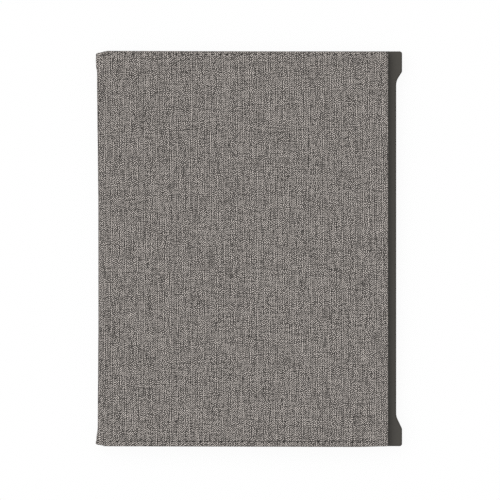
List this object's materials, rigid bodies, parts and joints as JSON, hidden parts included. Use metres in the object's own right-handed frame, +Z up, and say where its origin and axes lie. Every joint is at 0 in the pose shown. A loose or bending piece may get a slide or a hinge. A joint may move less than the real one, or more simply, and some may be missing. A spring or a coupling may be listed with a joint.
{
  "type": "tablet keyboard case",
  "caption": "Folding tablet keyboard cover: woven fabric outside, a plastic tray with corner ears, a kickstand and a keyboard that folds over the screen on a fabric spine.",
  "frame": {"origin": "middle of the underside of the closed case as it lies on its back", "axes": "+X from the spine to the opening edge, +Y along the spine, +Z up through the closed case"},
  "size_m": [0.194, 0.2526, 0.0189],
  "materials": {
    "tray_plastic": "satin moulded",
    "liner_felt": "brushed microfibre",
    "woven_fabric": "heathered weave",
    "lining": "brushed microfibre",
    "board": "plain",
    "hinge_steel": "brushed",
    "fastener_steel": "plain",
    "stiffener": "plain",
    "foot_rubber": "matt",
    "deck_plastic": "fine grained",
    "key_plastic": "matt, printed legends",
    "membrane_film": "clear film",
    "dome_rubber": "silicone",
    "circuit_board": "solder mask",
    "battery_foil": "foil pouch",
    "lead_film": "polyimide",
    "port_metal": "plated",
    "lens": "clear",
    "magnet": "plated",
    "switch_plastic": "satin"
  },
  "bodies": {
    "tray": {"tray_shell": "tray_plastic", "tray_liner": "liner_felt", "back_fabric": "woven_fabric", "hinge_brackets": "hinge_steel", "hinge_pins": "hinge_steel", "bracket_screws": "fastener_steel"},
    "kickstand": {"kickstand_plate": "stiffener", "kickstand_fabric": "woven_fabric", "kickstand_foot": "foot_rubber", "hinge_tongues": "hinge_steel", "tongue_rivets": "fastener_steel"},
    "spine": {"spine_fabric": "woven_fabric", "spine_board": "board", "spine_lining": "lining"},
    "cover": {"front_fabric": "woven_fabric", "base_plate": "stiffener", "keyboard_deck": "deck_plastic", "key_membrane": "membrane_film", "rubber_domes": "dome_rubber", "controller_board": "circuit_board", "battery_pack": "battery_foil", "battery_lead": "lead_film", "charge_port": "port_metal", "status_lens": "lens", "panel_screws": "fastener_steel", "closure_magnets": "magnet"},
    "power_switch": {"power_switch": "switch_plastic"},
    "function_keys": {"function_keys": "key_plastic"},
    "number_keys": {"number_keys": "key_plastic"},
    "backspace_key": {"backspace_key": "key_plastic"},
    "tab_key": {"tab_key": "key_plastic"},
    "upper_letter_keys": {"upper_letter_keys": "key_plastic"},
    "caps_key": {"caps_key": "key_plastic"},
    "home_letter_keys": {"home_letter_keys": "key_plastic"},
    "return_key": {"return_key": "key_plastic"},
    "left_shift_key": {"left_shift_key": "key_plastic"},
    "lower_letter_keys": {"lower_letter_keys": "key_plastic"},
    "right_shift_key": {"right_shift_key": "key_plastic"},
    "modifier_keys": {"modifier_keys": "key_plastic"},
    "left_meta_key": {"left_meta_key": "key_plastic"},
    "space_bar": {"space_bar": "key_plastic"},
    "right_meta_key": {"right_meta_key": "key_plastic"},
    "right_alt_key": {"right_alt_key": "key_plastic"},
    "left_arrow_key": {"left_arrow_key": "key_plastic"},
    "up_arrow_key": {"up_arrow_key": "key_plastic"},
    "down_arrow_key": {"down_arrow_key": "key_plastic"},
    "right_arrow_key": {"right_arrow_key": "key_plastic"}
  },
  "joints": [
    {"name": "spine_fold", "type": "hinge", "parent": "tray", "child": "spine", "pos_m": [-0.09646, 0, 0.00054], "axis": [0, -1, 0], "range_deg": [0, 180]},
    {"name": "cover_fold", "type": "hinge", "parent": "spine", "child": "cover", "pos_m": [-0.09646, 0, 0.01836], "axis": [0, -1, 0], "range_deg": [0, 90]},
    {"name": "kickstand_hinge", "type": "hinge", "parent": "tray", "child": "kickstand", "pos_m": [0.0029, 0, 0.0013], "axis": [0, -1, 0], "range_deg": [0, 120]},
    {"name": "power_switch_slide", "type": "slide", "parent": "cover", "child": "power_switch", "axis": [1, 0, 0], "range_m": [0, 0.0025]},
    {"name": "function_keys_press", "type": "slide", "parent": "cover", "child": "function_keys", "axis": [0, 0, 1], "range_m": [0, 0.0012], "stiffness_N_per_m": 3500, "springref_m": -0.0008, "deforming": ["rubber_domes"]},
    {"name": "number_keys_press", "type": "slide", "parent": "cover", "child": "number_keys", "axis": [0, 0, 1], "range_m": [0, 0.0012], "stiffness_N_per_m": 3250, "springref_m": -0.0008, "deforming": ["rubber_domes"]},
    {"name": "backspace_key_press", "type": "slide", "parent": "cover", "child": "backspace_key", "axis": [0, 0, 1], "range_m": [0, 0.0012], "stiffness_N_per_m": 250, "springref_m": -0.0008, "deforming": ["rubber_domes"]},
    {"name": "tab_key_press", "type": "slide", "parent": "cover", "child": "tab_key", "axis": [0, 0, 1], "range_m": [0, 0.0012], "stiffness_N_per_m": 250, "springref_m": -0.0008, "deforming": ["rubber_domes"]},
    {"name": "upper_letter_keys_press", "type": "slide", "parent": "cover", "child": "upper_letter_keys", "axis": [0, 0, 1], "range_m": [0, 0.0012], "stiffness_N_per_m": 3250, "springref_m": -0.0008, "deforming": ["rubber_domes"]},
    {"name": "caps_key_press", "type": "slide", "parent": "cover", "child": "caps_key", "axis": [0, 0, 1], "range_m": [0, 0.0012], "stiffness_N_per_m": 250, "springref_m": -0.0008, "deforming": ["rubber_domes"]},
    {"name": "home_letter_keys_press", "type": "slide", "parent": "cover", "child": "home_letter_keys", "axis": [0, 0, 1], "range_m": [0, 0.0012], "stiffness_N_per_m": 2750, "springref_m": -0.0008, "deforming": ["rubber_domes"]},
    {"name": "return_key_press", "type": "slide", "parent": "cover", "child": "return_key", "axis": [0, 0, 1], "range_m": [0, 0.0012], "stiffness_N_per_m": 250, "springref_m": -0.0008, "deforming": ["rubber_domes"]},
    {"name": "left_shift_key_press", "type": "slide", "parent": "cover", "child": "left_shift_key", "axis": [0, 0, 1], "range_m": [0, 0.0012], "stiffness_N_per_m": 250, "springref_m": -0.0008, "deforming": ["rubber_domes"]},
    {"name": "lower_letter_keys_press", "type": "slide", "parent": "cover", "child": "lower_letter_keys", "axis": [0, 0, 1], "range_m": [0, 0.0012], "stiffness_N_per_m": 2500, "springref_m": -0.0008, "deforming": ["rubber_domes"]},
    {"name": "right_shift_key_press", "type": "slide", "parent": "cover", "child": "right_shift_key", "axis": [0, 0, 1], "range_m": [0, 0.0012], "stiffness_N_per_m": 250, "springref_m": -0.0008, "deforming": ["rubber_domes"]},
    {"name": "modifier_keys_press", "type": "slide", "parent": "cover", "child": "modifier_keys", "axis": [0, 0, 1], "range_m": [0, 0.0012], "stiffness_N_per_m": 750, "springref_m": -0.0008, "deforming": ["rubber_domes"]},
    {"name": "left_meta_key_press", "type": "slide", "parent": "cover", "child": "left_meta_key", "axis": [0, 0, 1], "range_m": [0, 0.0012], "stiffness_N_per_m": 250, "springref_m": -0.0008, "deforming": ["rubber_domes"]},
    {"name": "space_bar_press", "type": "slide", "parent": "cover", "child": "space_bar", "axis": [0, 0, 1], "range_m": [0, 0.0012], "stiffness_N_per_m": 250, "springref_m": -0.0008, "deforming": ["rubber_domes"]},
    {"name": "right_meta_key_press", "type": "slide", "parent": "cover", "child": "right_meta_key", "axis": [0, 0, 1], "range_m": [0, 0.0012], "stiffness_N_per_m": 250, "springref_m": -0.0008, "deforming": ["rubber_domes"]},
    {"name": "right_alt_key_press", "type": "slide", "parent": "cover", "child": "right_alt_key", "axis": [0, 0, 1], "range_m": [0, 0.0012], "stiffness_N_per_m": 250, "springref_m": -0.0008, "deforming": ["rubber_domes"]},
    {"name": "left_arrow_key_press", "type": "slide", "parent": "cover", "child": "left_arrow_key", "axis": [0, 0, 1], "range_m": [0, 0.0012], "stiffness_N_per_m": 250, "springref_m": -0.0008, "deforming": ["rubber_domes"]},
    {"name": "up_arrow_key_press", "type": "slide", "parent": "cover", "child": "up_arrow_key", "axis": [0, 0, 1], "range_m": [0, 0.0012], "stiffness_N_per_m": 250, "springref_m": -0.0008, "deforming": ["rubber_domes"]},
    {"name": "down_arrow_key_press", "type": "slide", "parent": "cover", "child": "down_arrow_key", "axis": [0, 0, 1], "range_m": [0, 0.0012], "stiffness_N_per_m": 250, "springref_m": -0.0008, "deforming": ["rubber_domes"]},
    {"name": "right_arrow_key_press", "type": "slide", "parent": "cover", "child": "right_arrow_key", "axis": [0, 0, 1], "range_m": [0, 0.0012], "stiffness_N_per_m": 250, "springref_m": -0.0008, "deforming": ["rubber_domes"]}
  ]
}
